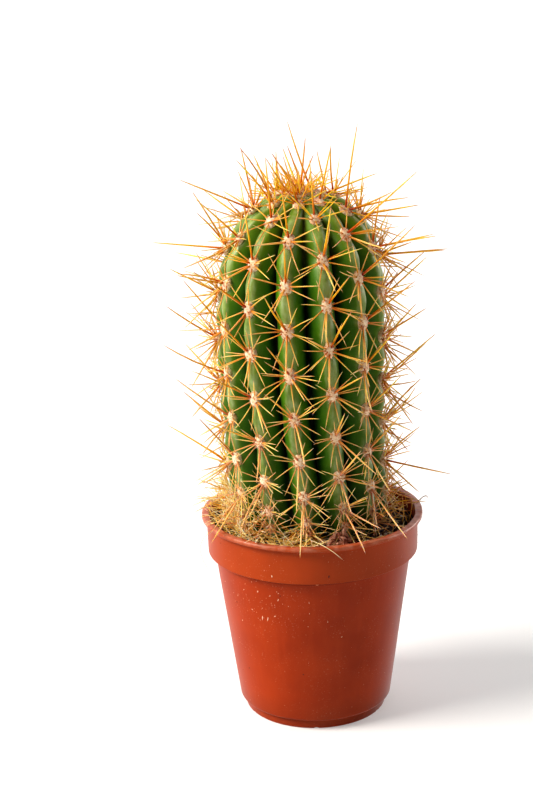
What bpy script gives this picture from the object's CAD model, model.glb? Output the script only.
"""The looks of a potted torch cactus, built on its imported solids.

Metres, +Z up; the plant's front faces -Y. The sections follow the object as it is put together: the
pot, the soil in it, the stem, the wool and the spines of its areoles, what has dropped round its foot,
and last the studio that it stands in.
"""
import math
import random

import bpy
import numpy as np
from mathutils import Matrix, Vector


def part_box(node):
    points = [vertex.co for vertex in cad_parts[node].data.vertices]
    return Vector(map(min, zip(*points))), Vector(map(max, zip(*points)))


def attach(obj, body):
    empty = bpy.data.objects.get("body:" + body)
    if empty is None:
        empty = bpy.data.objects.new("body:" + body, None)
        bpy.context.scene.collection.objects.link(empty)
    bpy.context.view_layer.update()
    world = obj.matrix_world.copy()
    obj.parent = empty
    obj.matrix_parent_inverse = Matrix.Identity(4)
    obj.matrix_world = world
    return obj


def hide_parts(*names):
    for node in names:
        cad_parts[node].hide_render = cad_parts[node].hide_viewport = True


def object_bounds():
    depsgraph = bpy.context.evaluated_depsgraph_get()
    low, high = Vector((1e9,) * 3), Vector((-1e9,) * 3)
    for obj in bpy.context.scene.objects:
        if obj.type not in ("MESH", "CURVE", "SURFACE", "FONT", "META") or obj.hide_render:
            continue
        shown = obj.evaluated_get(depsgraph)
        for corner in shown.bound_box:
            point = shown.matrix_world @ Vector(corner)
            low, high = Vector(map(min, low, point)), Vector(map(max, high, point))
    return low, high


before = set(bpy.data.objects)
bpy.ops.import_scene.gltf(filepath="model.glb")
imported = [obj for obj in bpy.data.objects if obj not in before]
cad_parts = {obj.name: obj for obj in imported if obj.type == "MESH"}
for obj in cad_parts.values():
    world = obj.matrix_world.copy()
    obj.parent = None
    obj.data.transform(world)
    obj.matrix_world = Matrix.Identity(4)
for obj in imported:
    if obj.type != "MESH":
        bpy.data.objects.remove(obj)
cad_low, cad_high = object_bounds()

# The pot
# A nursery pot moulded in one piece from terracotta-coloured polypropylene. Its thin wall has a rolled
# lip, a collar over a small step, and an inset foot with six drain holes, each with a channel outwards.

MM = 0.001
UP = np.array([0, 0, 1.0])
_, pot_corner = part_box("pot")
RIM_RADIUS = pot_corner.x
POT_HEIGHT = pot_corner.z
WALL_THICKNESS = 0.7 * MM
COLLAR_RADIUS = RIM_RADIUS - 1.2 * MM
COLLAR_FOOT = COLLAR_RADIUS - 0.3 * MM
LIP_FOOT = POT_HEIGHT - 1.1 * MM
STEP_HEIGHT = POT_HEIGHT - 9.6 * MM
WALL_TOP = COLLAR_FOOT - 1.6 * MM
WALL_FOOT = 19.0 * MM
FOOT_HEIGHT = 2.6 * MM
FOOT_RADIUS = WALL_FOOT - 1.3 * MM
BASE_THICKNESS = 0.9 * MM
POT_SEGMENTS = 176
DRAIN_HOLES = 6
DRAIN_CIRCLE = 11.5 * MM
DRAIN_RADIUS = 2.0 * MM
CHANNEL_DEPTH = 0.4 * MM
CHANNEL_ROUND = 1.0 * MM
ROD_SEGMENTS = 36
RIM_SWAY = 0.07 * MM
ROWS_OVER_LIP = 8


def parabola(start, pull, end, share):
    """The curve from a start to an end that bends towards the point of pull, at shares of its way."""
    return (1 - share) ** 2 * start + 2 * share * (1 - share) * pull + share ** 2 * end


def outline(corners, longest=1.5 * MM, bend_points=6):
    """A profile through corners given as (radius, height, rounding). Each inner corner becomes a parabola
    between the points one rounding away on its two sides, and long straight runs are split into steps."""
    path = [np.array(corners[0][:2])]
    for before, corner, after in zip(corners, corners[1:], corners[2:]):
        here = np.array(corner[:2])
        back, ahead = np.array(before[:2]) - here, np.array(after[:2]) - here
        start = here + back / np.linalg.norm(back) * corner[2]
        end = here + ahead / np.linalg.norm(ahead) * corner[2]
        path += list(parabola(start, here, end, np.linspace(0, 1, bend_points)[:, None]))
    path.append(np.array(corners[-1][:2]))
    points = [path[0]]
    for start, end in zip(path, path[1:]):
        steps = max(1, math.ceil(np.linalg.norm(end - start) / longest))
        points += [start + (end - start) * step / steps for step in range(1, steps + 1)]
    return np.array(points)


def turned(profile, segments):
    """A surface of revolution: the profile's radius and height at every angle round the Z axis."""
    angle = np.linspace(0, 2 * np.pi, segments, endpoint=False)
    radius, height = profile[:, :1], profile[:, 1:]
    return np.stack([radius * np.cos(angle), radius * np.sin(angle), height + 0 * angle], axis=-1)


def closed_mesh(name, rings, starts, ends):
    """Closed bodies, each a stack of rings of points with a fan to a point at either end. The rings are
    an array of bodies, rings, points round and coordinates, and the starts and ends one point a body."""
    bodies, rows, columns, _ = rings.shape
    column = np.arange(columns)
    beside = (column + 1) % columns
    low = 1 + columns * np.arange(rows - 1)[:, None]
    quads = np.stack([low + column, low + beside, low + columns + beside, low + columns + column], -1)
    top = 1 + columns * (rows - 1)
    last = 1 + columns * rows
    fans = np.concatenate([np.stack([0 * column, 1 + beside, 1 + column], -1),
                           np.stack([last + 0 * column, top + column, top + beside], -1)])
    offset = (last + 1) * np.arange(bodies)[:, None, None]
    points = np.concatenate([starts[:, None], rings.reshape(bodies, -1, 3), ends[:, None]], axis=1)
    mesh = bpy.data.meshes.new(name)
    mesh.from_pydata(points.reshape(-1, 3).tolist(), [],
                     (quads.reshape(1, -1, 4) + offset).reshape(-1, 4).tolist()
                     + (fans[None] + offset).reshape(-1, 3).tolist())
    mesh.shade_smooth()
    return mesh


def paint(mesh, name, values):
    """Keeps a number for each point of a mesh, for the material to read. The values are one a point, or
    one for each of the mesh's bodies, which then all have as many points."""
    attribute = mesh.attributes.new(name, "FLOAT", "POINT")
    points_each = len(mesh.vertices) // len(values)
    attribute.data.foreach_set("value", np.repeat(np.asarray(values, np.float32), points_each))


def show(name, data):
    """Puts an object with its mesh, light or camera in the scene, at the origin."""
    thing = bpy.data.objects.new(name, data)
    bpy.context.scene.collection.objects.link(thing)
    return thing


def add_piece(name, mesh, material):
    """Puts a finished mesh with its material in the scene."""
    mesh.materials.append(material)
    return show(name, mesh)


def belongs(piece, node=None):
    """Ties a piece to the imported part: the body it rides on, and the node it stands in for."""
    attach(piece, "root")
    if node:
        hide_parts(node)


def linear(colour):
    """An sRGB hex colour as linear red, green, blue and alpha."""
    parts = np.array([int(colour[place:place + 2], 16) for place in (1, 3, 5)]) / 255
    return (*np.where(parts <= 0.04045, parts / 12.92, ((parts + 0.055) / 1.055) ** 2.4), 1.0)


def feed(node, inputs):
    """Fills a shader node's inputs: each with a value, a hex colour, or the link from a socket or from
    another node's first output that is in use."""
    for name, value in inputs.items():
        if isinstance(value, bpy.types.Node):
            value = next(output for output in value.outputs if output.enabled)
        if isinstance(value, bpy.types.NodeSocket):
            node.id_data.links.new(value, node.inputs[name])
        else:
            node.inputs[name].default_value = linear(value) if isinstance(value, str) else value


def add_node(material, kind, inputs=None, stops=(), **settings):
    """Adds a shader node with its settings and inputs; stops are a colour ramp's places and colours."""
    node = material.node_tree.nodes.new("ShaderNode" + kind)
    for name, value in settings.items():
        setattr(node, name, value)
    feed(node, inputs or {})
    for number, (place, colour) in enumerate(stops):
        elements = node.color_ramp.elements
        stop = elements[number] if number < 2 else elements.new(place)
        stop.position = place
        stop.color = linear(colour)
    return node


def new_material(name, **surface):
    """A material, its Principled shader and its object coordinates; surface holds the shader's own values."""
    material = bpy.data.materials.new(name)
    material.use_nodes = True
    shader = material.node_tree.nodes["Principled BSDF"]
    feed(shader, {socket.replace("_", " ").title().replace("Ior", "IOR"): value
                  for socket, value in surface.items()})
    return material, shader, add_node(material, "TexCoord").outputs["Object"]


def toned_material(name, stops, **surface):
    """A material, its shader, its coordinates, and its colour: a ramp along the mesh's painted tone."""
    material, shader, place = new_material(name, **surface)
    tone = add_node(material, "Attribute", attribute_name="tone").outputs["Fac"]
    colour = add_node(material, "ValToRGB", {"Fac": tone}, stops)
    feed(shader, {"Base Color": colour})
    return material, shader, place, colour


# Some inputs of a colour Mix node share a name, so they are reached by their places.
FACTOR, FIRST, SECOND = 0, 6, 7


def layered(material, under, layers):
    """Lays colours over one another. A layer is its colour and a source, and its share of the surface goes
    in a line from the least, where the source has its first value, to the most, where it has its second.
    A last source, if there is one, is multiplied in."""
    for colour, source, first, second, least, most, *factors in layers:
        share = add_node(material, "MapRange", {"Value": source, "From Min": first, "From Max": second,
                                                "To Min": least, "To Max": most})
        for factor in factors:
            share = add_node(material, "Math", {0: share, 1: factor}, operation="MULTIPLY")
        under = add_node(material, "Mix", {FACTOR: share, FIRST: under, SECOND: colour}, data_type="RGBA")
    return under


def ripples(points, size, seed, waves=28):
    """Smooth random relief of about -1 to 1: the sum of sine waves about one size long, each running in
    a random direction."""
    draw = np.random.default_rng(seed)
    directions = draw.normal(size=(waves, points.shape[-1]))
    lengths = size * draw.uniform(0.7, 1.6, (waves, 1))
    directions *= 2 * np.pi / lengths / np.linalg.norm(directions, axis=1, keepdims=True)
    return np.sin(points @ directions.T + draw.uniform(0, 2 * np.pi, waves)).sum(-1) / math.sqrt(waves)


def rod(radius, low, high):
    """The points of a round rod along the Z axis, between two heights."""
    bevel = 0.1 * MM
    return turned(outline([(bevel, low, 0), (radius, low, bevel), (radius, high, bevel), (bevel, high, 0)],
                          bend_points=2), ROD_SEGMENTS)


def around_base(grid):
    """Copies of a grid of points at each drain hole's place, as an array of bodies."""
    angle = 2 * np.pi * (np.arange(DRAIN_HOLES) + 0.5) / DRAIN_HOLES
    turn = np.stack([np.cos(angle), -np.sin(angle), 0 * angle, np.sin(angle), np.cos(angle), 0 * angle,
                     0 * angle, 0 * angle, 0 * angle + 1], -1).reshape(-1, 1, 1, 3, 3)
    return (turn @ (grid + (DRAIN_CIRCLE, 0, 0))[None, ..., None])[..., 0]


def cut_out(piece, name, bodies):
    """Cuts closed bodies, given as rings of points, from a piece and keeps the cut mesh."""
    cutter = show(name, closed_mesh(name, bodies, bodies[:, 0].mean(1), bodies[:, -1].mean(1)))
    cut = piece.modifiers.new(name, "BOOLEAN")
    cut.operation = "DIFFERENCE"
    cut.solver = "EXACT"
    cut.object = cutter
    bpy.context.view_layer.update()
    whole = piece.evaluated_get(bpy.context.evaluated_depsgraph_get())
    piece.data = bpy.data.meshes.new_from_object(whole)
    piece.modifiers.clear()
    bpy.data.objects.remove(cutter)


pot_profile = outline([
    (0.5 * MM, 0, 0), (FOOT_RADIUS, 0, 0.5 * MM), (FOOT_RADIUS + 0.1 * MM, FOOT_HEIGHT, 0.3 * MM),
    (WALL_FOOT, FOOT_HEIGHT, 0.6 * MM), (WALL_TOP, STEP_HEIGHT, 0.15 * MM),
    (COLLAR_FOOT, STEP_HEIGHT, 0.22 * MM), (COLLAR_RADIUS, LIP_FOOT, 0.35 * MM),
    (RIM_RADIUS, LIP_FOOT, 0.35 * MM), (RIM_RADIUS, POT_HEIGHT, 0.36 * MM),
    (COLLAR_RADIUS - WALL_THICKNESS, POT_HEIGHT, 0.7 * MM),
    (COLLAR_FOOT - WALL_THICKNESS, STEP_HEIGHT + 1.3 * MM, 0.5 * MM),
    (WALL_TOP - WALL_THICKNESS, STEP_HEIGHT + 0.1 * MM, 0.3 * MM),
    (WALL_FOOT - WALL_THICKNESS, FOOT_HEIGHT + 1.0 * MM, 0.5 * MM),
    (FOOT_RADIUS - WALL_THICKNESS, FOOT_HEIGHT, 0.3 * MM),
    (FOOT_RADIUS - WALL_THICKNESS, BASE_THICKNESS, 0.4 * MM), (0.5 * MM, BASE_THICKNESS, 0)])
rim_row = np.argmax(pot_profile[:, 1])
pot_grid = turned(pot_profile, POT_SEGMENTS)
pot_angle = np.linspace(0, 2 * np.pi, POT_SEGMENTS, endpoint=False)
near_rim = np.clip((pot_profile[:, 1:] - STEP_HEIGHT) / (POT_HEIGHT - STEP_HEIGHT), 0, 1)
sway = RIM_SWAY * near_rim * (2 + np.sin(2 * pot_angle + 0.6) + np.sin(5 * pot_angle + 2.0))
pot_grid[..., :2] *= (1 - sway / np.maximum(pot_profile[:, :1], MM))[..., None]
pot_mesh = closed_mesh("pot_shell", pot_grid[None], np.zeros((1, 3)), np.array([[0, 0, BASE_THICKNESS]]))
inside = np.arange(len(pot_profile)) > rim_row + ROWS_OVER_LIP
paint(pot_mesh, "inside", np.concatenate([[0], np.repeat(inside, POT_SEGMENTS), [1]]))

# Polypropylene, injection moulded: satin and even, a little cloudy, with a finely sparked mould face.
pot_plastic, shader, place = new_material(
    "terracotta_polypropylene", roughness=0.4, ior=1.49, specular_ior_level=0.25, sheen_weight=0.05,
    sheen_roughness=0.35, subsurface_weight=0.06, subsurface_scale=0.6 * MM,
    subsurface_radius=(1.0, 0.35, 0.15))
upright = add_node(pot_plastic, "Mapping", {"Vector": place, "Scale": (1.0, 1.0, 0.06)})
cloud, flow, lime, patch, scuff, spark = (
    add_node(pot_plastic, "TexNoise", {"Vector": vector, "Scale": 1 / (size * MM), "Detail": detail,
                                       "Roughness": roughness})
    for vector, size, detail, roughness in (
        (place, 11, 4.0, 0.5), (upright, 1.6, 3.0, 0.5), (place, 0.42, 5.0, 0.7), (place, 6, 2.0, 0.5),
        (place, 2.2, 5.0, 0.5), (place, 0.35, 2.0, 0.5)))
height = add_node(pot_plastic, "SeparateXYZ", {"Vector": place}).outputs["Z"]
inner = add_node(pot_plastic, "Attribute", attribute_name="inside").outputs["Fac"]
patch_share = add_node(pot_plastic, "MapRange", {"Value": patch, "From Min": 0.42, "From Max": 0.62})
lip_share = add_node(pot_plastic, "MapRange", {"Value": height, "From Min": POT_HEIGHT - 1.1 * MM,
                                               "From Max": POT_HEIGHT - 0.4 * MM})
under_step = add_node(pot_plastic, "Math", {0: height, 1: STEP_HEIGHT - 0.45 * MM}, operation="SUBTRACT")
off_line = add_node(pot_plastic, "Math", {0: under_step}, operation="ABSOLUTE")
base_tone = add_node(pot_plastic, "ValToRGB", {"Fac": cloud}, stops=((0.3, "#9C3304"), (0.7, "#AA3B07")))
# In turn: the cleaner collar, faint upright flow marks, a dusting of dried lime, dirt at the foot, a line
# of it under the step, scuffs on the lip, and soil on the inside.
pot_colour = layered(pot_plastic, base_tone, (
    ("#B25012", height, STEP_HEIGHT - 0.1 * MM, STEP_HEIGHT, 0.0, 0.3),
    ("#B44210", flow, 0.5, 0.75, 0.0, 0.28),
    ("#D9A78C", lime, 0.61, 0.68, 0.0, 0.5, patch_share),
    ("#6E3A22", height, 9 * MM, 0.0, 0.0, 0.6, cloud),
    ("#4E1606", off_line, 0.55 * MM, 0.2 * MM, 0.0, 0.6),
    ("#E0A88E", scuff, 0.4, 0.7, 0.1, 0.45, lip_share),
    ("#3A1408", inner, 0.0, 1.0, 0.0, 0.8)))
gloss = add_node(pot_plastic, "MapRange", {"Value": cloud, "To Min": 0.37, "To Max": 0.43})
lip_gloss = add_node(pot_plastic, "Math", {0: lip_share, 1: -0.14, 2: gloss}, operation="MULTIPLY_ADD")
fine_relief = add_node(pot_plastic, "Bump", {"Height": spark, "Strength": 0.10, "Distance": 0.05 * MM})
soft_relief = add_node(pot_plastic, "Bump", {"Height": flow, "Strength": 0.12, "Distance": 0.12 * MM,
                                             "Normal": fine_relief})
feed(shader, {"Base Color": pot_colour, "Roughness": lip_gloss, "Normal": soft_relief})

pot_shell = add_piece("pot_shell", pot_mesh, pot_plastic)
trough = rod(CHANNEL_ROUND, 0, RIM_RADIUS - DRAIN_CIRCLE)[..., [2, 0, 1]]
trough = trough + (0, 0, CHANNEL_DEPTH - CHANNEL_ROUND)
cut_out(pot_shell, "drain_holes", around_base(rod(DRAIN_RADIUS, -2 * MM, 2 * MM)))
cut_out(pot_shell, "drain_channels", around_base(trough))
belongs(pot_shell, "pot")

# Flecks on the pot
# Crusts of dried lime and soil, a few hundredths of a millimetre thick, where drops have dried on the
# plastic. The larger ones in front were spotted in the photo by eye and most put on the wall by the fitted
# camera. A fine dusting lies at the front left, and small ones are strewn all round.

# Angle from the front to the right in degrees, height, length, width in mm, slant in degrees, and tone.
FRONT_FLECKS = (
    (-33, 30.3, 1.15, 0.22, 82, 1), (-29, 30.4, 1.2, 0.22, 78, 1), (-24, 31.5, 0.5, 0.22, 20, 0.9),
    (-51, 27.6, 0.5, 0.25, 60, 0.9), (-45, 36.7, 0.5, 0.25, 30, 0.8), (-34, 37.4, 0.5, 0.22, 70, 1),
    (-26, 36.9, 0.45, 0.2, 40, 0.9), (-21, 36.1, 0.7, 0.22, 60, 0.9), (-40, 31.9, 0.5, 0.22, 0, 0.8),
    (-22, 43.0, 0.5, 0.3, 85, 1), (8, 30.5, 0.4, 0.2, 90, 0.8), (17, 26.0, 0.5, 0.2, 45, 0.8),
    (-54, 32.2, 0.5, 0.35, 0, 0), (-19.5, 37.3, 0.45, 0.35, 0, 0), (-52, 14.2, 0.5, 0.4, 30, 0.05),
    (8, 43.4, 0.7, 0.3, 70, 0), (2, 40.7, 0.7, 0.4, 0, 0.4), (-8, 16.0, 0.4, 0.3, 10, 0))
STREWN_FLECKS = 320
DUST_FLECKS = 46
FLECK_RISE = 0.05 * MM
STEP_GAP = 0.9 * MM


def unit(vectors):
    """Vectors at length 1."""
    return vectors / np.linalg.norm(vectors, axis=-1, keepdims=True)


def at_angle(reach, angle, height=0.0):
    """Points at a reach from the pot's axis, an angle from the front to the right, and a height."""
    return np.stack([reach * np.sin(angle), -reach * np.cos(angle), height + 0 * angle], -1)


def blobs(name, centres, frames, sizes, seed, rows, columns, roughness):
    """Lumps: a sphere's points, each moved in or out at random by up to the roughness, scaled by the
    three sizes and turned into each lump's own frame, whose rows are its X, Y and Z directions."""
    draw = np.random.default_rng(seed)
    down = np.pi * np.arange(1, rows + 1) / (rows + 1)
    round_ = 2 * np.pi * np.arange(columns) / columns
    ball = np.stack([np.sin(down)[:, None] * np.cos(round_), np.sin(down)[:, None] * np.sin(round_),
                     -np.cos(down)[:, None] + 0 * round_], -1)
    swell = 1 + roughness * draw.uniform(-1, 1, (len(centres), rows, columns, 1))
    local = ball[None] * swell * sizes[:, None, None]
    rings = np.einsum("brck,bkx->brcx", local, frames) + centres[:, None, None]
    pole = frames[:, 2] * sizes[:, 2:]
    return closed_mesh(name, rings, centres - pole, centres + pole)


def on_wall(angles, heights):
    """Points on the pot's outer wall at angles from the front to the right, and the frames there: along
    the wall, up it and outwards."""
    outer = pot_profile[:rim_row + 1]
    small_rise = 1e-6
    radius = np.interp(heights, outer[:, 1], outer[:, 0])
    slope = (np.interp(heights + small_rise, outer[:, 1], outer[:, 0]) - radius) / small_rise
    across = np.stack([np.cos(angles), np.sin(angles), 0 * angles], -1)
    out = at_angle(1.0, angles)
    up = unit(out * slope[:, None] + UP)
    return out * radius[:, None] + heights[:, None] * UP, np.stack([across, up, np.cross(across, up)], 1)


fleck_draw = np.random.default_rng(41)
placed = np.array(FRONT_FLECKS) * (1, MM, MM, MM, 1, 1)
strewn = np.stack([
    fleck_draw.uniform(-180, 180, STREWN_FLECKS), fleck_draw.uniform(3.5, 49.0, STREWN_FLECKS) * MM,
    0.10 * MM + 0.26 * MM * fleck_draw.random(STREWN_FLECKS) ** 3,
    fleck_draw.uniform(0.08, 0.15, STREWN_FLECKS) * MM,
    fleck_draw.uniform(0, 180, STREWN_FLECKS), fleck_draw.random(STREWN_FLECKS)], -1)
strewn = strewn[np.abs(strewn[:, 1] - STEP_HEIGHT) > STEP_GAP]
dusting = np.stack([
    fleck_draw.normal(-31, 15, DUST_FLECKS), fleck_draw.normal(34.5, 3.6, DUST_FLECKS) * MM,
    fleck_draw.uniform(0.2, 0.55, DUST_FLECKS) * MM, fleck_draw.uniform(0.09, 0.15, DUST_FLECKS) * MM,
    fleck_draw.uniform(40, 110, DUST_FLECKS), fleck_draw.uniform(0.3, 0.85, DUST_FLECKS)], -1)
dusting = dusting[dusting[:, 1] < STEP_HEIGHT - STEP_GAP]
flecks = np.concatenate([placed, strewn, dusting])
fleck_points, wall_frames = on_wall(np.radians(flecks[:, 0]), flecks[:, 1])
along_wall, up_wall, off_wall = wall_frames.transpose(1, 0, 2)
slant = np.radians(flecks[:, 4])[:, None]
fleck_frames = np.stack([along_wall * np.cos(slant) + up_wall * np.sin(slant),
                         up_wall * np.cos(slant) - along_wall * np.sin(slant), off_wall], 1)
fleck_sizes = np.stack([flecks[:, 2] / 2, flecks[:, 3] / 2, 0 * flecks[:, 2] + FLECK_RISE], -1)
fleck_mesh = blobs("pot_flecks", fleck_points, fleck_frames, fleck_sizes, seed=42, rows=3, columns=7,
                   roughness=0.35)
paint(fleck_mesh, "tone", flecks[:, 5])

# Dried lime with soil in it: chalky and dull, from off-white to the brown of the soil.
lime_crust, *_ = toned_material("dried_lime_crust", (
    (0.0, "#5A2413"), (0.3, "#B5623E"), (0.6, "#D08A66"), (1.0, "#EBC9AE")), roughness=0.85)
belongs(add_piece("pot_flecks", fleck_mesh, lime_crust))

# The soil
# Peat potting mix, filled in loose to a little under the rim and rising towards the stem. Its top is
# crumbly; the pot's wall has shaped its side, and the stem stands in a hole in it.

CLEARANCE = 0.3 * MM
STEM_OFFSET = -0.4 * MM
NECK_RADIUS = 18.8 * MM
STEM_FOOT = 41.0 * MM
SOIL_AT_WALL = POT_HEIGHT - 3.4 * MM
SOIL_AT_STEM = POT_HEIGHT - 2.4 * MM
SOIL_INNER = 14.8 * MM
SOIL_BASE = BASE_THICKNESS + CLEARANCE
SOIL_RINGS = 44
SOIL_SEGMENTS = 220


def pot_inside(height):
    """The pot's inner radius at a height."""
    inner = pot_profile[rim_row:][::-1]
    return np.interp(height, inner[:, 1], inner[:, 0])


def soil_level(x, y):
    """The soil's height at a place: a slope from the stem down to the wall, with clods and crumbs."""
    wall = pot_inside(SOIL_AT_WALL)
    share = np.clip((np.hypot(x - STEM_OFFSET, y) - NECK_RADIUS) / (wall - NECK_RADIUS), 0, 1)
    flat = np.stack([x, y], -1)
    clods = 0.42 * MM * np.clip(ripples(flat, 5.5 * MM, seed=7), -1, 1)
    crumbs = 0.22 * MM * ripples(flat, 1.5 * MM, seed=8) + 0.10 * MM * ripples(flat, 0.7 * MM, seed=9)
    return SOIL_AT_STEM + (SOIL_AT_WALL - SOIL_AT_STEM) * share + clods + crumbs


soil_wall = pot_inside(SOIL_AT_WALL) - CLEARANCE
under_stem = outline([
    (0.5 * MM, STEM_FOOT - CLEARANCE, 0), (NECK_RADIUS - 2 * MM, STEM_FOOT - CLEARANCE, 0.3 * MM),
    (NECK_RADIUS + CLEARANCE, STEM_FOOT + 4 * MM, 0.5 * MM),
    (NECK_RADIUS + CLEARANCE, SOIL_AT_WALL - MM, 0.3 * MM), (SOIL_INNER, SOIL_AT_STEM - MM, 0)])
top_radius = np.linspace(SOIL_INNER, soil_wall, SOIL_RINGS)
side = pot_profile[rim_row:] - (CLEARANCE, 0)
side = side[(side[:, 1] < SOIL_AT_WALL - 1.2 * MM) & (side[:, 1] > BASE_THICKNESS + MM)]
floor_edge = side[-1, 0] - 0.3 * MM
under_pot = outline([(floor_edge + 0.2 * MM, BASE_THICKNESS + 0.6 * MM, 0),
                     (floor_edge, SOIL_BASE, 0.2 * MM), (0.5 * MM, SOIL_BASE, 0)])
soil_profile = np.concatenate([under_stem[:-1], np.stack([top_radius, 0 * top_radius], -1), side, under_pot])
soil_grid = turned(soil_profile, SOIL_SEGMENTS)
first_top = len(under_stem) - 1
past_top = first_top + SOIL_RINGS
off_centre = np.clip((soil_wall - soil_profile[:past_top, 0]) / (soil_wall - NECK_RADIUS), 0, 1)
soil_grid[:past_top, :, 0] += STEM_OFFSET * off_centre[:, None]
soil_top = soil_grid[first_top:past_top]
soil_top[..., 2] = soil_level(soil_top[..., 0], soil_top[..., 1])
soil_mesh = closed_mesh("soil_bed", soil_grid[None], np.array([[0, 0, STEM_FOOT - CLEARANCE]]),
                        np.array([[0, 0, SOIL_BASE]]))

# Peat: dark brown, matt and damp in its hollows, with paler dry fibres through it.
peat, shader, place = new_material("potting_peat", roughness=0.95)
grain = add_node(peat, "TexNoise", {"Vector": place, "Scale": 1 / (0.9 * MM), "Detail": 6.0, "Roughness": 0.7})
patches = add_node(peat, "TexNoise", {"Vector": place, "Scale": 1 / (5 * MM), "Detail": 2.0})
mixed = add_node(peat, "Math", {0: grain, 1: patches}, operation="MULTIPLY")
peat_tone = add_node(peat, "ValToRGB", {"Fac": mixed},
                     stops=((0.15, "#160A04"), (0.27, "#34190A"), (0.36, "#5A3216"), (0.46, "#8A5A30")))
rough_ground = add_node(peat, "Bump", {"Height": grain, "Strength": 0.8, "Distance": 0.4 * MM})
feed(shader, {"Base Color": peat_tone, "Normal": rough_ground})
belongs(add_piece("soil_bed", soil_mesh, peat), "soil")

# Crumbs on the soil
# Loose bits of peat and bark, with grains of perlite, which is a puffed white volcanic glass, and one
# pale clump of bark at the front right. They lie half sunk in the soil's top.

PEAT_CRUMBS = 900
PERLITE_GRAINS = 60
PERLITE_SPOT = math.radians(-52)
CLUMP_PLACE = (6.4 * MM, -20.6 * MM)
CLUMP_BITS = 110


def random_frames(draw, count):
    """Random right-handed frames, one for each lump."""
    forward = draw.normal(size=(count, 3))
    across = np.cross(forward, draw.normal(size=(count, 3)))
    return unit(np.stack([forward, across, np.cross(forward, across)], 1))


def lie_on_soil(x, y, raised):
    """Points over the soil's top at places seen from above, each raised by so much."""
    return np.stack([x, y, soil_level(x, y) + raised], -1)


crumb_draw = np.random.default_rng(43)
crumb_angle = crumb_draw.uniform(0, 2 * np.pi, PEAT_CRUMBS)
crumb_reach = np.sqrt(crumb_draw.uniform(16.5 ** 2, 24.4 ** 2, PEAT_CRUMBS)) * MM
crumb_size = (0.22 + 0.75 * crumb_draw.random(PEAT_CRUMBS) ** 2.2) * MM
crumb_reach = np.minimum(crumb_reach, soil_wall - crumb_size)
crumbs = lie_on_soil(*at_angle(crumb_reach, crumb_angle).T[:2], 0.1 * crumb_size)
crumb_sizes = crumb_size[:, None] * crumb_draw.uniform(0.6, 1.15, (PEAT_CRUMBS, 3))
crumb_tone = crumb_draw.random(PEAT_CRUMBS) * 0.62
grain_angle = np.where(crumb_draw.random(PERLITE_GRAINS) < 0.45,
                       crumb_draw.normal(PERLITE_SPOT, 0.14, PERLITE_GRAINS),
                       crumb_draw.uniform(0, 2 * np.pi, PERLITE_GRAINS))
grain_reach = crumb_draw.uniform(20.5, 24.0, PERLITE_GRAINS) * MM
grain_size = crumb_draw.uniform(0.22, 0.62, PERLITE_GRAINS) * MM
grains = lie_on_soil(*at_angle(grain_reach, grain_angle).T[:2], 0.3 * grain_size)
grain_sizes = grain_size[:, None] * crumb_draw.uniform(0.75, 1.1, (PERLITE_GRAINS, 3))
off_clump = crumb_draw.normal(0, 1, (CLUMP_BITS, 2)) * (2.1, 1.0)
clump_rise = 0.7 + 4.0 * np.exp(-(off_clump ** 2).sum(1) / 6) * crumb_draw.random(CLUMP_BITS)
clump_size = crumb_draw.uniform(0.35, 0.7, CLUMP_BITS) * MM
bits = lie_on_soil(*(CLUMP_PLACE + off_clump * MM).T, clump_rise * MM)
bit_sizes = clump_size[:, None] * crumb_draw.uniform(0.6, 1.2, (CLUMP_BITS, 3)) * (1.9, 0.7, 0.8)
lumps = np.concatenate([crumbs, grains, bits])
lump_sizes = np.concatenate([crumb_sizes, grain_sizes, bit_sizes])
lump_tone = np.concatenate([crumb_tone, 0.92 + 0.08 * crumb_draw.random(PERLITE_GRAINS),
                            crumb_draw.uniform(0.66, 0.83, CLUMP_BITS)])
crumb_mesh = blobs("soil_crumbs", lumps, random_frames(crumb_draw, len(lumps)), lump_sizes, seed=44,
                   rows=4, columns=6, roughness=0.3)
paint(crumb_mesh, "tone", lump_tone)

# Crumbs of peat from near black to pale brown, pinkish bark, and off-white perlite, all dry and dull.
crumb_matter, shader, place, matter = toned_material("peat_bark_and_perlite", (
    (0.0, "#180B04"), (0.3, "#40220C"), (0.5, "#6E421E"), (0.62, "#92683C"), (0.65, "#A8644A"),
    (0.8, "#DCAA8E"), (0.88, "#BFB7AA"), (1.0, "#EFEAE0")), roughness=0.95)
pores = add_node(crumb_matter, "TexNoise", {"Vector": place, "Scale": 1 / (0.3 * MM), "Detail": 3.0})
darker = add_node(crumb_matter, "Mix", {FACTOR: 0.5, FIRST: matter, SECOND: pores.outputs["Color"]},
                  data_type="RGBA", blend_type="SOFT_LIGHT")
pitted = add_node(crumb_matter, "Bump", {"Height": pores, "Strength": 0.7, "Distance": 0.15 * MM})
feed(shader, {"Base Color": darker, "Normal": pitted})
belongs(add_piece("soil_crumbs", crumb_mesh, crumb_matter))

# The stem
# One upright column of thirteen rounded ribs with narrow grooves, which bows a little, leans to the
# front and closes in a dome. The ribs swell between their areoles and pinch in at each of them.

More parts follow.
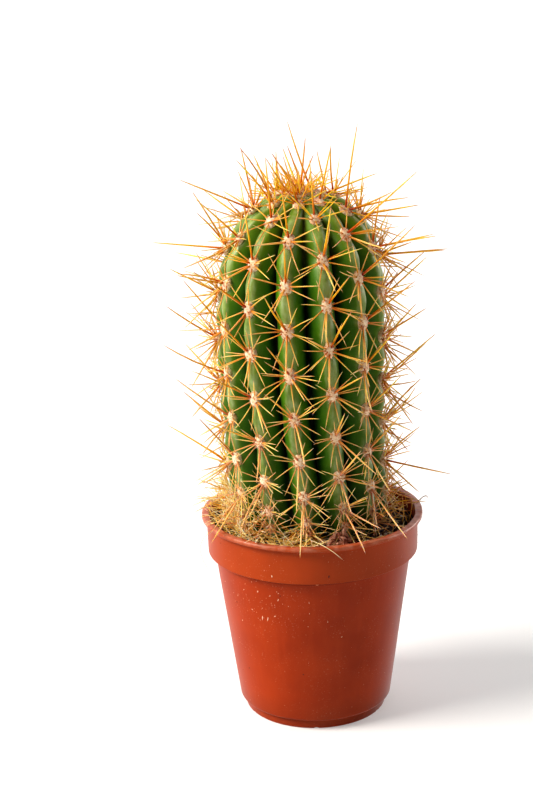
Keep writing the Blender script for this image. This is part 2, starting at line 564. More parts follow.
RIBS = 13
FIRST_RIB = math.radians(-63.7)
TWIST = math.radians(0.16) / MM
TWIST_CENTRE = 95.0 * MM
STEM_NECK = POT_HEIGHT
STEM_TOP = 129.8 * MM
STEM_BOW = 1.4 * MM
STEM_LEAN = 2.9 * MM
CROWN_TILT = 0.2
TILT_POWER = 3.6
SWELLING = 2.3 * MM
CREST_SHARE = 0.18
AREOLE_STEP = 11.05 * MM
AREOLE_PHASE = 0.627
PHASE_PER_RIB = 6 / 13
PHASE_NUDGES = np.array([0.07, 0, -0.05, -0.05, 0, 0.06, 0, -0.04, 0.03, 0.05, -0.05, 0.02, -0.03])
CROWDING = 0.88
CROWDING_REACH = 8.3 * MM
BULGE = 0.85 * MM
NOTCH = 0.35 * MM
STEM_ROWS = 190
COLUMNS_PER_RIB = 28


def stem_rise(height):
    """The share of the way from the pot's rim up to the crown."""
    return np.clip((height - STEM_NECK) / (STEM_TOP - STEM_NECK), 0, 1)


def stem_points(height, radius, angle):
    """Points at a radius, and an angle from the front to the right. The middle bows to the left in a
    parabola and leans to the front, and the crown nods: rings tip forward by a power of the rise."""
    rise = stem_rise(height)
    forward = -radius * np.cos(angle)
    across = STEM_OFFSET - STEM_BOW * 4 * rise * (1 - rise) + radius * np.sin(angle)
    nod = CROWN_TILT * rise ** TILT_POWER * forward
    return np.stack([across, forward - STEM_LEAN * rise, height + nod], -1)


def ridge_radius(height):
    """The radius over the ribs: a slow swelling closed by a dome above the soil, and a taper below."""
    rise = stem_rise(height)
    above = (NECK_RADIUS + SWELLING * rise ** 1.3) * np.sqrt(1 - rise ** 7.5)
    below = np.interp(height, (STEM_FOOT, STEM_FOOT + 5 * MM, STEM_NECK),
                      (NECK_RADIUS - 4.2 * MM, NECK_RADIUS - 1.2 * MM, NECK_RADIUS))
    return np.where(height < STEM_NECK, below, above)


def rib_angle(rib, height):
    """A rib's direction seen from above, from the front to the right, with the stem's slow twist."""
    return FIRST_RIB + rib * 2 * np.pi / RIBS + TWIST * (TWIST_CENTRE - height)


curve_drop = np.linspace(0, 1, 4000) ** 3
curve_height = STEM_TOP - curve_drop * (STEM_TOP - STEM_NECK)
curve_radius = ridge_radius(curve_height)
curve_along = np.append(0, np.cumsum(np.hypot(np.diff(curve_radius), np.diff(curve_height))))
curve_gap = AREOLE_STEP * (1 - CROWDING * np.exp(-(curve_along[-1] - curve_along) / CROWDING_REACH))
curve_count = np.append(0, np.cumsum(np.diff(curve_along) * 2 / (curve_gap[1:] + curve_gap[:-1])))


def areole_phase(rib):
    """The place of a rib's first areole, in steps from the crown."""
    return (AREOLE_PHASE + PHASE_PER_RIB * rib) % 1 + PHASE_NUDGES[rib.astype(int) % RIBS]


def ribbed_surface(place, height):
    """Points of the stem, and how deep in a groove each one is. The place runs round the stem in ribs.
    Each row is a ring whose radius dips between the ribs: a hyperbola's round crest and straight flanks.
    On the crests it swells between areoles and is notched at them."""
    rib = np.round(place)
    dip = np.hypot(np.abs(place - rib), CREST_SHARE) - CREST_SHARE
    across = (dip / (math.hypot(0.5, CREST_SHARE) - CREST_SHARE)) ** 1.3
    groove = np.interp(height, (STEM_FOOT + 5 * MM, STEM_NECK, STEM_NECK + (STEM_TOP - STEM_NECK) / 4),
                       (0, 0.17, 0.27))
    count, along, gap = (np.interp(-height, -curve_height, curve)
                         for curve in (curve_count, curve_along, curve_gap))
    below = np.clip(STEM_NECK - height, 0, None) / curve_gap[-1]
    away = (count + below - areole_phase(rib)) % 1
    between = 0.5 - 0.5 * np.cos(2 * np.pi * away)
    notch = np.exp(-(np.minimum(away, 1 - away) / 0.12) ** 2)
    size = gap / AREOLE_STEP * np.clip(along / (9 * MM), 0, 1)
    crest = (1 - across) ** 0.8 * size
    radius = ridge_radius(height) * (1 - groove * across) + crest * (BULGE * (between - 0.3) - NOTCH * notch)
    angle = rib_angle(place, height) + 0.012 * np.sin(height / (6.4 * MM) + 2.4 * rib) * size
    return stem_points(height, radius, angle), across


buried = np.array([41.4, 43.5, 46.0, 47.2, 48.2, 49.1, 50.0]) * MM
above_soil = np.interp(np.linspace(1, 0.006, STEM_ROWS) * curve_along[-1], curve_along, curve_height)
stem_height = np.concatenate([buried, above_soil])[:, None]
stem_place = np.arange(RIBS * COLUMNS_PER_RIB)[None] / COLUMNS_PER_RIB
stem_grid, stem_across = ribbed_surface(stem_place, stem_height)
stem_mesh = closed_mesh("stem_skin", stem_grid[None], stem_points(STEM_FOOT, 0, 0)[None],
                        stem_points(STEM_TOP, 0, 0)[None])
paint(stem_mesh, "groove", np.concatenate([[0], (stem_across + 0 * stem_grid[..., 0]).ravel(), [0]]))

# Living skin: waxy and half matt, and a little see-through. The flanks are leaf green, and the grooves
# darker; breathing pores show as a fine pale speckle.
skin, shader, place = new_material(
    "waxy_cactus_skin", roughness=0.42, ior=1.45, specular_ior_level=0.34, subsurface_weight=0.1,
    subsurface_scale=1.0 * MM, subsurface_radius=(0.5, 1.0, 0.1))
groove = add_node(skin, "Attribute", attribute_name="groove").outputs["Fac"]
level = add_node(skin, "SeparateXYZ", {"Vector": place}).outputs["Z"]
mottle = add_node(skin, "TexNoise", {"Vector": place, "Scale": 1 / (4 * MM), "Detail": 4.0})
pore = add_node(skin, "TexVoronoi", {"Vector": place, "Scale": 1 / (0.42 * MM)})
drawn_out = add_node(skin, "Mapping", {"Vector": place, "Scale": (1.0, 1.0, 0.3)})
streak = add_node(skin, "TexNoise", {"Vector": drawn_out, "Scale": 1 / (0.9 * MM), "Detail": 4.0})
streak_share = add_node(skin, "MapRange", {"Value": streak, "From Min": 0.38, "From Max": 0.62,
                                           "To Min": 0.25})
wander = add_node(skin, "Math", {0: mottle, 1: 0.35, 2: -0.175}, operation="MULTIPLY_ADD")
depth = add_node(skin, "Math", {0: groove, 1: wander}, operation="ADD")
flesh = add_node(skin, "ValToRGB", {"Fac": depth},
                 stops=((0.0, "#86983C"), (0.06, "#6C8824"), (0.18, "#4E7C08"), (0.5, "#3A6E06"),
                        (0.8, "#133202"), (1.0, "#010400")))
# In turn: older, darker skin low down, a grey-green bloom on the crests, young yellow-green skin at the
# crown, and the pores.
skin_colour = layered(skin, flesh, (
    ("#1C4212", level, 96 * MM, 54 * MM, 0.0, 0.32),
    ("#9CB07E", depth, 0.15, -0.03, 0.0, 0.8, streak_share),
    ("#84961C", level, 112 * MM, 131 * MM, 0.0, 0.5),
    ("#9DAA66", pore, 0.22, 0.08, 0.0, 0.22)))
sheen = add_node(skin, "MapRange", {"Value": mottle, "To Min": 0.34, "To Max": 0.52})
dimple = add_node(skin, "Bump", {"Height": pore, "Strength": 0.12, "Distance": 0.05 * MM})
uneven = add_node(skin, "Bump", {"Height": mottle, "Strength": 0.25, "Distance": 0.35 * MM, "Normal": dimple})
feed(shader, {"Base Color": skin_colour, "Roughness": sheen, "Normal": uneven})
belongs(add_piece("stem_skin", stem_mesh, skin), "cactus")

# The areoles' wool
# Each rib carries a row of areoles, which are pads of cream felt that the spines grow from. Each rib's
# row starts 6/13 of a step below its left neighbour's. A pad is a lumpy cushion under loose short hairs.

LOWEST_AREOLE = 50.6 * MM
AREOLES_A_RIB = 12
PAD_SIZE = np.array([1.46, 2.0, 1.0]) * MM
YOUNG_REACH = 12.0 * MM
OLD_HEIGHT = 59.0 * MM
HAIRS_PER_PAD = 64
HAIR_LENGTH = 0.85 * MM
HAIR_RADIUS = 0.042 * MM
HAIR_STATIONS = np.array([0, 0.35, 0.75, 1.0])
HAIR_TAPER = np.array([[1, 1, 0.7, 0.3]])
CROWN_HAIRS = 900
CROWN_WOOL = np.array([[5.2, 5.2, 1.6]]) * MM
CROWN_SINK = 0.6 * MM
PAD_SINK = 0.12 * MM


def ridge_points(rib, along):
    """Points on the ribs' ridges at distances from the crown."""
    height = np.interp(along, curve_along, curve_height)
    return stem_points(height, np.interp(along, curve_along, curve_radius), rib_angle(rib, height))


def tubes(name, centres, radii, sides):
    """Closed tubes: rings of points round each centre line and square to it, and a point at either end.
    The centre lines are an array of tubes, stations and coordinates, the radii one of tubes and stations."""
    ahead = unit(np.gradient(centres, axis=1))
    mean = ahead.mean(1, keepdims=True)
    helper = np.where(np.abs(mean[..., 2:]) < 0.8, UP, np.array([1.0, 0, 0]))
    side = unit(np.cross(ahead, helper))
    other = np.cross(ahead, side)
    turn = 2 * np.pi * np.arange(sides)[:, None] / sides
    rings = centres[:, :, None] + radii[:, :, None, None] * (side[:, :, None] * np.cos(turn)
                                                             + other[:, :, None] * np.sin(turn))
    return closed_mesh(name, rings[:, 1:-1], centres[:, 0], centres[:, -1])


rib, step = [grid.ravel() for grid in np.meshgrid(np.arange(RIBS), np.arange(AREOLES_A_RIB), indexing="ij")]
counted = step + areole_phase(rib)
along = np.interp(counted, curve_count, curve_along)
kept = (counted > 0) & (counted <= curve_count[-1])
kept &= np.interp(along, curve_along, curve_height) >= LOWEST_AREOLE
rib, step, along = rib[kept], step[kept], along[kept]
areoles = ridge_points(rib, along)
areole_up = unit(ridge_points(rib, along - CLEARANCE) - ridge_points(rib, along + CLEARANCE))
areole_out = unit(np.cross(ridge_points(rib + 0.01, along) - ridge_points(rib - 0.01, along), areole_up))
areole_right = np.cross(areole_up, areole_out)
areole_frames = np.stack([areole_right, areole_up, areole_out], 1)
young_pad = along < YOUNG_REACH
pad_scale = np.interp(areoles[:, 2], (STEM_NECK, STEM_NECK + 12 * MM), (0.7, 1.0))
pad_scale *= np.where(young_pad, 0.9, 1.0)

wool_draw = np.random.default_rng(51)
pad_sizes = PAD_SIZE * pad_scale[:, None] * wool_draw.uniform(0.9, 1.1, (len(areoles), 3))
pad_centres = areoles - areole_out * PAD_SINK
pad_mesh = blobs("areole_pads", pad_centres, areole_frames, pad_sizes, seed=52, rows=6, columns=10,
                 roughness=0.10)
apex = stem_points(STEM_TOP, 0, 0)


def hairs_on(centres, frames, sizes, count, seed):
    """Starts and outward directions of hairs spread over the outer half of each pad."""
    draw = np.random.default_rng(seed)
    ball = unit(draw.normal(size=(len(centres), count, 3)))
    ball[..., 2] = np.abs(ball[..., 2])
    starts = np.einsum("bhk,bkx->bhx", ball * sizes[:, None] * 0.86, frames) + centres[:, None]
    ways = np.einsum("bhk,bkx->bhx", unit(ball + draw.normal(0, 0.55, ball.shape)), frames)
    return starts.reshape(-1, 3), ways.reshape(-1, 3)


def curled(starts, ways, lengths, curl, stations, seed):
    """Centre lines that start off in their own ways and bend evenly to a random side, as an arc of a
    circle through the curl's angle."""
    draw = np.random.default_rng(seed)
    sideways = unit(np.cross(ways, draw.normal(size=ways.shape)))
    bend = np.maximum(np.abs(curl), 1e-3)[:, None, None]
    reach = stations[None, :, None] * bend
    step = lengths[:, None, None] / bend
    return starts[:, None] + step * (np.sin(reach) * ways[:, None] + (1 - np.cos(reach)) * sideways[:, None])


pad_starts, pad_ways = hairs_on(pad_centres, areole_frames, pad_sizes, HAIRS_PER_PAD, seed=53)
crown_starts, crown_ways = hairs_on(apex[None] - CROWN_SINK * UP, np.eye(3)[None], CROWN_WOOL, CROWN_HAIRS,
                                    seed=54)
hair_starts = np.concatenate([pad_starts, crown_starts])
hair_ways = np.concatenate([pad_ways, crown_ways])
hair_lengths = HAIR_LENGTH * wool_draw.uniform(0.5, 1.25, len(hair_starts))
hair_lines = curled(hair_starts, hair_ways, hair_lengths, wool_draw.uniform(0.4, 1.9, len(hair_starts)),
                    HAIR_STATIONS, seed=55)
hair_mesh = tubes("areole_hairs", hair_lines, HAIR_RADIUS * HAIR_TAPER, sides=3)
paint(hair_mesh, "tone", wool_draw.random(len(hair_starts)))

# Plant felt: dull cream hairs that scatter light between them, stained reddish brown in patches.
felt, shader, place = new_material(
    "cream_plant_felt", roughness=0.9, subsurface_weight=0.3, subsurface_scale=0.5 * MM,
    subsurface_radius=(1.0, 0.7, 0.5), sheen_weight=0.4)
stain = add_node(felt, "TexNoise", {"Vector": place, "Scale": 1 / (0.55 * MM), "Detail": 3.0,
                                    "Roughness": 0.65})
felt_tone = add_node(felt, "ValToRGB", {"Fac": stain},
                     stops=((0.33, "#B0501E"), (0.4, "#EAB280"), (0.49, "#FAD6AE"), (0.66, "#FFEBD4")))
tufted = add_node(felt, "Bump", {"Height": stain, "Strength": 0.9, "Distance": 0.3 * MM})
feed(shader, {"Base Color": felt_tone, "Normal": tufted})
belongs(add_piece("areole_pads", pad_mesh, felt), "cactus")

# The same hairs lying loose: each is pale cream or stained.
hair, *_ = toned_material("cream_plant_hair", (
    (0.0, "#D08848"), (0.15, "#F0BC86"), (0.45, "#FCDCB4"), (1.0, "#FFF0DA")), roughness=0.6,
    subsurface_weight=0.3, subsurface_scale=0.1 * MM)
belongs(add_piece("areole_hairs", hair_mesh, hair), "cactus")

# The spines
# Hard needles of lignified tissue, straight or nearly so, that grow from the wool. Each areole has a ring
# of short radial spines round a few longer ones; the crown's stand up in a tuft.

SEED = 1307
CENTRAL_WIDTH = 0.47 * MM
RADIAL_WIDTH = 0.32 * MM
# Each kind of spine: its tilt from outward in degrees, its length in mm unless that is worked out for each,
# how far its tilt, turn and length vary, its width, and its age: from 0 for a central spine's colours to 1
# for a radial one's, a range, or below 0 for the crown's.
SPINE_KINDS = {
    "tall_crown": (24, 11.5, (15, 50, 3.7), CENTRAL_WIDTH, -1.0),
    "low_crown": (42, 8.5, (16, 50, 2.5), 0.9 * RADIAL_WIDTH, -1.0),
    "flat_crown": (66, 8.0, (8, 14, 1.0), RADIAL_WIDTH, -1.0),
    "upper": (48, 15.0, (12, 28, 3.5), CENTRAL_WIDTH, 0.05),
    "lower": (50, 11.5, (12, 55, 2.5), CENTRAL_WIDTH, 0.85),
    "cross": (71, 7.6, (6, 25, 1.1), RADIAL_WIDTH, 0.8),
    "ring": (72, None, (7, 9, 1.0), RADIAL_WIDTH, (0.6, 1.0)),
    "flank": (52, 10.5, (12, 30, 2.5), 0.7 * CENTRAL_WIDTH, (0.3, 0.9)),
    "foot_ring": (66, 7.2, (14, 14, 1.6), 0.8 * RADIAL_WIDTH, (0.7, 1.0)),
    "foot_upper": (42, 9.0, (18, 70, 2.5), 1.1 * RADIAL_WIDTH, 0.0),
    "foot_lower": (42, 9.0, (18, 70, 2.5), 1.1 * RADIAL_WIDTH, 0.9),
}
FRONT_FAN = 30
FAN_LIMIT = 120
SIDE_FROM = 75
SIDE_CHANCE = 0.75
INNER_REACH = 5.5 * MM
APEX_SPINES = 46
APEX_REACH = 3.6 * MM
APEX_SHIFT = (-1.6 * MM, 0, 0.2 * MM)
BENDS = 14
BEND_STEP = 0.12
PATH_CHECKS = 12
CRUMB_RISE = 0.45 * MM
SPINE_SINK = 0.2 * MM
ROOT_LEAN = 0.55 * MM
SPINE_SIDES = 5
# The longest spines: rib, number down the rib, and the tip's place in mm. Each tip was spotted in the photo
# by eye, put in space by the fitted camera, and rounded.
LONG_SPINES = (
    (0, 0, -15, -11, 142), (0, 0, -16, -9, 139), (0, 0, -12, -7, 140), (0, 1, -25, -15, 131),
    (0, 2, -30, -17, 114), (0, 2, -30, -11, 113), (0, 7, -24, -20, 50),
    (1, 0, -7, -10, 139), (1, 1, -9, -13, 140), (1, 2, -19, -19, 119), (1, 2, -14, -18, 130),
    (1, 7, -17, -27, 54),
    (2, 0, -9, -14, 140), (2, 0, -5, -19, 141), (2, 7, -3, -31, 50),
    (3, 1, 1, -10, 139), (3, 8, 12, -34, 52), (3, 8, 16, -26, 55),
    (4, 0, 6, -10, 142), (4, 1, 25, -25, 138), (4, 7, 22, -28, 53),
    (5, 0, 12, -11, 147), (5, 0, 24, -7, 129), (5, 0, 20, -10, 131), (5, 1, 29, -16, 122),
    (5, 1, 17, -9, 130), (5, 1, 30, -13, 121), (5, 6, 34, -8, 62),
    (6, 0, 17, -1, 134), (6, 1, 27, 1, 126), (6, 2, 33, 1, 115), (6, 2, 25, 2, 117), (6, 2, 34, 3, 115),
    (7, 0, 6, -2, 141), (7, 1, 14, 8, 131),
    (8, 0, -4, -12, 148),
    (11, 1, -25, 13, 129), (11, 2, -33, 17, 113),
    (12, 1, -30, -3, 134), (12, 1, -15, -1, 141), (12, 2, -37, -2, 119), (12, 2, -27, 0, 131),
    (12, 2, -26, -2, 126), (12, 3, -33, -3, 113), (12, 4, -34, -3, 104),
)

spines = []


def grow(number, draw, kind, turns, length=None, width_share=1.0):
    """Adds a spine of a kind to an areole at each turn, in degrees from upwards to the right. The tilt, the
    turn and the length are each drawn at random within their spread, and the age within its range."""
    tilt, usual_length, spread, width, age = SPINE_KINDS[kind]
    middle_length = (length or usual_length) * MM
    for turn in turns:
        drawn_tilt = math.radians(tilt + draw.uniform(-spread[0], spread[0]))
        drawn_turn = math.radians(turn + draw.uniform(-spread[1], spread[1]))
        drawn_length = middle_length + draw.uniform(-spread[2] * MM, spread[2] * MM)
        lean = areole_up[number] * math.cos(drawn_turn) + areole_right[number] * math.sin(drawn_turn)
        way = areole_out[number] * math.cos(drawn_tilt) + lean * math.sin(drawn_tilt)
        drawn_age = draw.uniform(*age) if isinstance(age, tuple) else age
        spines.append((number, areoles[number] + way * drawn_length, width * width_share, drawn_age))


for number, (areole, crown_distance) in enumerate(zip(areoles, along)):
    draw = random.Random(SEED + 100 * int(rib[number]) + int(step[number]))
    where = (rib[number], step[number])
    longs = [np.array(tip) * MM for spine_rib, spine_step, *tip in LONG_SPINES
             if (spine_rib, spine_step) == where]
    spines += [(number, tip, CENTRAL_WIDTH, 0.0 if tip[2] > OLD_HEIGHT else 0.9) for tip in longs]
    if young_pad[number]:
        inner_pad = crown_distance <= INNER_REACH
        grow(number, draw, "tall_crown", () if longs else (0, 180))
        grow(number, draw, "low_crown", () if inner_pad else (90, 270))
        grow(number, draw, "flat_crown", (100, 180, 260) if inner_pad else (60, 110, 180, 250, 300))
    elif areole[2] < OLD_HEIGHT:
        grow(number, draw, "foot_ring", range(15, 360, 30))
        grow(number, draw, "foot_upper", (0,))
        grow(number, draw, "foot_lower", (180,))
    else:
        facing = (math.degrees(rib_angle(rib[number], areole[2])) + 180) % 360 - 180
        fan = FRONT_FAN * math.sin(math.radians(1.5 * facing)) if abs(facing) < FAN_LIMIT else 0
        grow(number, draw, "upper", () if longs else (fan,))
        grow(number, draw, "lower", (180,))
        grow(number, draw, "cross", (78,) if step[number] % 2 else (282,))
        ring = 8 if areole[2] > 100 * MM else 11
        longest = np.interp(areole[2], (80 * MM, 104 * MM), (7.0, 9.0))
        width_share = np.interp(areole[2], (60 * MM, 100 * MM), (0.84, 1.0))
        for place_in_ring in range(ring):
            turn = 360 * (place_in_ring + 0.5) / ring
            length = longest - 1.0 * math.cos(math.radians(turn))
            grow(number, draw, "ring", (turn,), length, width_share)
        for turn in ((30, 75, 105, 255, 285, 330) if abs(facing) > SIDE_FROM else (105, 255)):
            if draw.random() < SIDE_CHANCE:
                grow(number, draw, "flank", (turn,))

owner, tips, widths, ages = (np.array(column) for column in zip(*spines))
bases = areoles[owner]


def meets_pot(starts, ends):
    """Whether straight spines pass through the soil or the pot's lip."""
    share = np.linspace(0, 1, PATH_CHECKS + 1)[1:, None]
    path = starts[:, None] + (ends - starts)[:, None] * share
    reach = np.hypot(path[..., 0], path[..., 1])
    outwards = np.clip((reach - NECK_RADIUS) / (soil_wall - NECK_RADIUS), 0, 1)
    soil = SOIL_AT_STEM + (SOIL_AT_WALL - SOIL_AT_STEM) * outwards + CRUMB_RISE
    over_soil = reach < COLLAR_RADIUS - WALL_THICKNESS - 2 * CLEARANCE
    over_lip = ~over_soil & (reach < RIM_RADIUS + 3 * CLEARANCE)
    floor = np.where(over_soil, soil + 3 * CLEARANCE, np.where(over_lip, POT_HEIGHT + 3 * CLEARANCE, -1.0))
    return (path[..., 2] < floor).any(1)


lengths = np.linalg.norm(tips - bases, axis=1)
for _ in range(BENDS):
    blocked = meets_pot(bases, tips)
    raised = tips - bases + BEND_STEP * UP * lengths[:, None]
    tips = np.where(blocked[:, None], bases + unit(raised) * lengths[:, None], tips)
free = ~meets_pot(bases, tips)
owner, tips, widths, ages, bases = owner[free], tips[free], widths[free], ages[free], bases[free]

apex_draw = np.random.default_rng(61)
apex_turn = apex_draw.uniform(0, 2 * np.pi, APEX_SPINES)
apex_reach = APEX_REACH * np.sqrt(apex_draw.random(APEX_SPINES))
apex_tilt = np.radians(3 + 24 * apex_reach / APEX_REACH) + apex_draw.normal(0, 0.2, APEX_SPINES)
apex_flat = at_angle(1.0, apex_turn)
apex_bases = apex + apex_flat * apex_reach[:, None] + APEX_SHIFT
apex_lengths = apex_draw.uniform(3.0, 7.0, APEX_SPINES) * MM
apex_ways = apex_flat * np.sin(apex_tilt)[:, None] + np.cos(apex_tilt)[:, None] * UP
outward = np.concatenate([areole_out[owner], np.tile(UP, (APEX_SPINES, 1))])
bases = np.concatenate([bases, apex_bases])
tips = np.concatenate([tips, apex_bases + apex_ways * apex_lengths[:, None]])
widths = np.concatenate([widths, apex_draw.uniform(0.22, 0.34, APEX_SPINES) * MM])
ages = np.concatenate([ages, -np.ones(APEX_SPINES)])
tips = np.clip(tips, np.array(cad_low) + CLEARANCE, np.array(cad_high) - CLEARANCE)

ways = unit(tips - bases)
lean = ways - outward * (ways * outward).sum(1, keepdims=True)
roots = bases + outward * SPINE_SINK + lean * ROOT_LEAN
spine_stations = np.array([0, 0.012, 0.045, 0.09, 0.25, 0.5, 0.75, 0.93, 1.0])
spine_swell = np.array([0, 1.25, 1.35, 1.05, 1.0, 0.92, 0.74, 0.4, 0])
bow = apex_draw.normal(0, 0.018, len(tips)) * np.linalg.norm(tips - roots, axis=1)
aside = unit(np.cross(ways, apex_draw.normal(size=ways.shape)))
curve = (4 * spine_stations * (1 - spine_stations))[None, :, None]
spine_lines = (roots[:, None] + (tips - roots)[:, None] * spine_stations[None, :, None]
               + curve * (bow[:, None] * aside)[:, None])
spine_mesh = tubes("spines", spine_lines, widths[:, None] / 2 * spine_swell, SPINE_SIDES)
one_along = np.concatenate([[0], np.repeat(spine_stations[1:-1], SPINE_SIDES), [1]])
low_share = np.interp(bases[:, 2], (55 * MM, 95 * MM), (1, 0))
front_share = np.interp(-outward[:, 1], (0.1, 0.6), (0, 1))
for name, values in (("along", np.tile(one_along, len(tips))), ("tone", apex_draw.random(len(tips))),
                     ("age", np.maximum(ages, 0)), ("crown", ages < 0), ("bleach", low_share * front_share)):
    paint(spine_mesh, name, values)

# Lignified spine: smooth, hard and amber, and light gets into it. Central spines are red-brown at the root
# and golden above, radial ones are straw-coloured, both with pinkish tips, and the crown's have dark tips.
# Low down in front they are bleached.
horn, shader, _ = new_material(
    "amber_spine", roughness=0.36, ior=1.5, specular_ior_level=0.25, subsurface_weight=0.75,
    subsurface_scale=0.4 * MM, subsurface_radius=(1.0, 0.62, 0.22))
along_spine, tone, age, crown, bleach = (
    add_node(horn, "Attribute", attribute_name=name).outputs["Fac"]
    for name in ("along", "tone", "age", "crown", "bleach"))
central, radial, tuft = (add_node(horn, "ValToRGB", {"Fac": along_spine}, stops=stops) for stops in (
    ((0.0, "#9E2C04"), (0.12, "#CC6406"), (0.32, "#E8A81A"), (0.8, "#F2C24C"), (1.0, "#B88088")),
    ((0.0, "#A8400C"), (0.12, "#D98C2E"), (0.4, "#ECB660"), (0.84, "#F2C682"), (1.0, "#C09084")),
    ((0.0, "#BA5606"), (0.12, "#E8980C"), (0.38, "#FFC82C"), (0.78, "#F8BC4E"), (1.0, "#8E4A62"))))
spine_colour = layered(horn, central, (
    (radial, age, 0.0, 1.0, 0.0, 1.0), (tuft, crown, 0.0, 1.0, 0.0, 1.0),
    ("#EFC49E", bleach, 0.0, 1.0, 0.0, 0.45)))
value = add_node(horn, "MapRange", {"Value": tone, "To Min": 0.8, "To Max": 1.12})
hue = add_node(horn, "MapRange", {"Value": tone, "To Min": 0.49, "To Max": 0.51})
varied = add_node(horn, "HueSaturation", {"Color": spine_colour, "Value": value, "Hue": hue})
feed(shader, {"Base Color": varied})
belongs(add_piece("spines", spine_mesh, horn), "cactus")

# The dropped spines
# A mat of old, dry spines and hairs that lie curled round the stem's foot, thickest at the left, and next
# in front.

LITTER = 800
LITTER_SIDES = 4
LITTER_TAPER = np.array([0, 1, 1, 1, 0.9, 0.75, 0.5, 0])
CLUMP_CLEAR = 2.6 * MM
STEM_CLEAR = 17.2 * MM
# Stray fibres, each a curve pulled towards a middle point: start, middle and end in mm, width and tone.
STRAYS = (
    ((-1, -25, 52.4), (3.5, -29.2, 52.4), (7.1, -28.7, 48.4), 0.22, 0.9),
    ((-22.5, -14.5, 52.0), (-31, -18, 49.5), (-23, -16.8, 38.9), 0.10, 0.3),
    ((25.6, -0.5, 51.8), (28.6, 3.6, 54.0), (29, 2.8, 52.0), 0.30, 0.0))


def keep_in_pot(lines, clear):
    """Moves points out of the stem, above the soil and inside the pot's wall."""
    reach = np.hypot(lines[..., 0] - STEM_OFFSET, lines[..., 1])
    inner = pot_inside(np.minimum(lines[..., 2], POT_HEIGHT - 2 * MM)) - 2 * clear
    limit = np.where(lines[..., 2] < POT_HEIGHT + 0.6 * MM, inner, RIM_RADIUS + 3 * MM)
    wanted = np.clip(reach, STEM_CLEAR, limit)
    lines = lines * np.stack([wanted / reach, wanted / reach, 0 * reach + 1], -1)
    lines[..., 2] = np.maximum(lines[..., 2], soil_level(lines[..., 0], lines[..., 1]) + clear)
    return lines


litter_draw = np.random.default_rng(71)
lot = litter_draw.random(LITTER)
heaped = lot < 0.5
litter_angle = np.where(heaped, litter_draw.normal(math.radians(-76), 0.36, LITTER),
                        np.where(lot < 0.75, litter_draw.normal(math.radians(-15), 0.5, LITTER),
                                 litter_draw.uniform(-np.pi, np.pi, LITTER)))
litter_reach = (17.4 + np.where(heaped, 3.6, 7.0) * litter_draw.random(LITTER)) * MM
heap = np.where(heaped, 11.5, 2.2) * MM * np.clip((24.5 * MM - litter_reach) / (6 * MM), 0.1, 1)
litter_height = SOIL_AT_WALL + MM + heap * litter_draw.random(LITTER) ** 1.2
litter_starts = at_angle(litter_reach, litter_angle, litter_height)
heading = (litter_angle + np.where(litter_draw.random(LITTER) < 0.5, 0, np.pi)
           + litter_draw.normal(0, 0.65, LITTER))
rising = np.where(heaped, litter_draw.normal(0.5, 0.7, LITTER), litter_draw.normal(0.1, 0.3, LITTER))
litter_ways = unit(np.stack([np.cos(heading), np.sin(heading), rising], -1))
litter_stations = np.linspace(0, 1, 8)
litter_lines = curled(litter_starts, litter_ways, litter_draw.uniform(5.0, 12.0, LITTER) * MM,
                      litter_draw.gamma(2.0, 0.35, LITTER), litter_stations, seed=72)
litter_width = litter_draw.uniform(0.16, 0.30, (LITTER, 1)) * MM
litter_lines = keep_in_pot(litter_lines, litter_width / 2)
litter_tone = np.clip(litter_draw.random(LITTER) + np.where(heaped, 0.42, 0.08), 0, 1)
clear_of_clump = np.linalg.norm(litter_lines[..., :2] - np.array(CLUMP_PLACE), axis=-1).min(1) > CLUMP_CLEAR
starts, pulls, ends, stray_width, stray_tone = (np.array(part) for part in zip(*STRAYS))
stray_lines = parabola(*(points[:, None] * MM for points in (starts, pulls, ends)), litter_stations[:, None])
litter_lines = np.concatenate([litter_lines[clear_of_clump], stray_lines])
litter_width = np.concatenate([litter_width[clear_of_clump], stray_width[:, None] * MM])
litter_mesh = tubes("dropped_spines", litter_lines, litter_width / 2 * LITTER_TAPER, LITTER_SIDES)
paint(litter_mesh, "tone", np.append(litter_tone[clear_of_clump], stray_tone))

# Dry spine: straw-coloured, from bleached to dull brown, and duller than a living one.
straw, *_ = toned_material("dry_straw_spine", (
    (0.0, "#7E4414"), (0.15, "#CC8826"), (0.4, "#F2BC58"), (0.7, "#FBD88E"), (1.0, "#FFECC0")),
    roughness=0.5, specular_ior_level=0.2, subsurface_weight=0.45, subsurface_scale=0.4 * MM,
    subsurface_radius=(1.0, 0.75, 0.4))
belongs(add_piece("dropped_spines", litter_mesh, straw))

# The studio
# A white table that is lit from inside, under a large soft key from the upper left, with white all round.

FLOOR_SIZE = 12.0
SCREEN_RADIUS = 4.0
SCREEN_HEIGHT = 3.0
SCREEN_SEGMENTS = 64
floor_mesh = bpy.data.meshes.new("floor")
floor_mesh.from_pydata([(FLOOR_SIZE * x, FLOOR_SIZE * y, 0) for x, y in ((-1, -1), (1, -1), (1, 1), (-1, 1))],
                       [], [(0, 1, 2, 3)])
table, _, _ = new_material("lit_acrylic_table", roughness=0.8, base_color="#D0D0D0",
                           emission_color="#FFFFFF", emission_strength=0.3)
floor = add_piece("floor", floor_mesh, table)
floor.visible_glossy = False

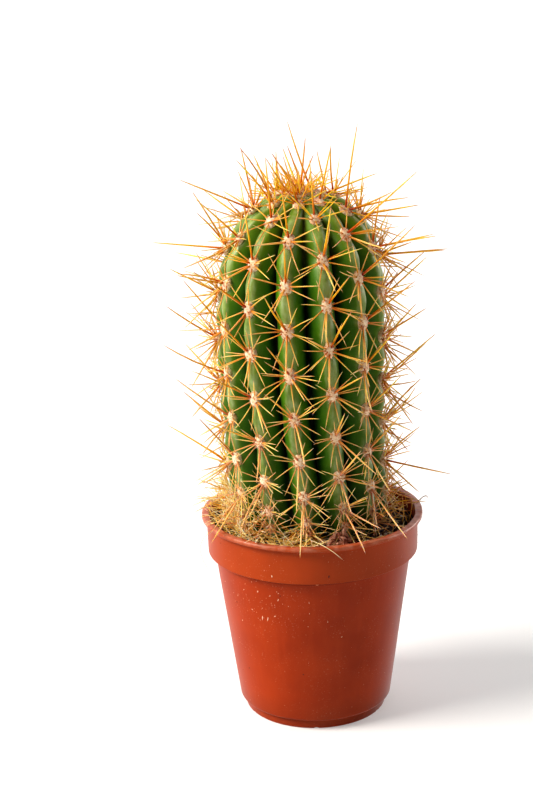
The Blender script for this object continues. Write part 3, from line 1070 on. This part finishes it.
# A round paper screen that stands 4 m off on all sides and shows white behind the plant in every view.
# Only the camera sees it: it neither lights the plant nor shades it.
screen_grid = turned(np.array([[SCREEN_RADIUS, 0.0], [SCREEN_RADIUS, SCREEN_HEIGHT]]), SCREEN_SEGMENTS)
around = np.arange(SCREEN_SEGMENTS)
beside = (around + 1) % SCREEN_SEGMENTS
screen_mesh = bpy.data.meshes.new("screen")
screen_mesh.from_pydata(screen_grid[:, ::-1].reshape(-1, 3).tolist(), [], np.stack(
    [around, beside, SCREEN_SEGMENTS + beside, SCREEN_SEGMENTS + around], -1).tolist())
paper, _, _ = new_material("white_paper_screen", roughness=1.0, emission_color="#FFFFFF",
                           emission_strength=1.0)
screen = add_piece("screen", screen_mesh, paper)
screen.visible_diffuse = screen.visible_glossy = screen.visible_transmission = screen.visible_shadow = False

sky = bpy.data.worlds.new("white_backdrop")
bpy.context.scene.world = sky
sky.use_nodes = True
direction = add_node(sky, "SeparateXYZ", {"Vector": add_node(sky, "TexCoord").outputs["Generated"]})
glow = add_node(sky, "MapRange", {"Value": direction.outputs["Y"], "From Min": -0.1, "From Max": 0.7,
                                  "To Min": 0.02, "To Max": 0.97})
feed(sky.node_tree.nodes["Background"], {"Color": "#FFFFFF", "Strength": glow})


def window_light(name, towards, spread, strength, colour, gloss_only=False):
    """Even light from far off, softened as by a window that fills so many degrees of the view. A light for
    gloss only stands for a white card: it shows in shiny surfaces and lights no dull ones."""
    lamp = bpy.data.lights.new(name, "SUN")
    lamp.angle = math.radians(spread)
    lamp.energy = strength
    lamp.color = linear(colour)[:3]
    holder = show(name, lamp)
    holder.rotation_euler = Vector(towards).to_track_quat("-Z", "Y").to_euler()
    holder.visible_diffuse = not gloss_only


window_light("key", (0.75, 0.19, -0.63), 32, 4.35, "#FFFAF2")
window_light("rim", (-0.80, -0.50, -0.33), 50, 0.28, "#FFD6A4")
window_light("left_card", (0.90, 0.34, -0.22), 40, 1.3, "#FFFFFF", gloss_only=True)
window_light("right_card", (-0.93, -0.30, -0.20), 60, 4.2, "#FFFFFF", gloss_only=True)

# The camera
# A long lens a little above the plant, turned slightly on its own axis.

FOCAL_LENGTH = 72.0
CAMERA_PLACE = Vector((0.0, -374.36, 185.465)) * MM
CAMERA_AIM = Vector((-10.58, 0.69, 79.05)) * MM
CAMERA_ROLL = -1.57
lens = bpy.data.cameras.new("camera")
lens.lens = FOCAL_LENGTH
lens.clip_start = 0.01
camera = show("camera", lens)
sight = (CAMERA_AIM - CAMERA_PLACE).to_track_quat("-Z", "Y").to_matrix().to_4x4()
roll = Matrix.Rotation(math.radians(CAMERA_ROLL), 4, "Z")
camera.matrix_world = Matrix.Translation(CAMERA_PLACE) @ sight @ roll
bpy.context.scene.camera = camera
bpy.context.scene.view_settings.view_transform = "Standard"
bpy.context.scene.view_settings.look = "Medium High Contrast"
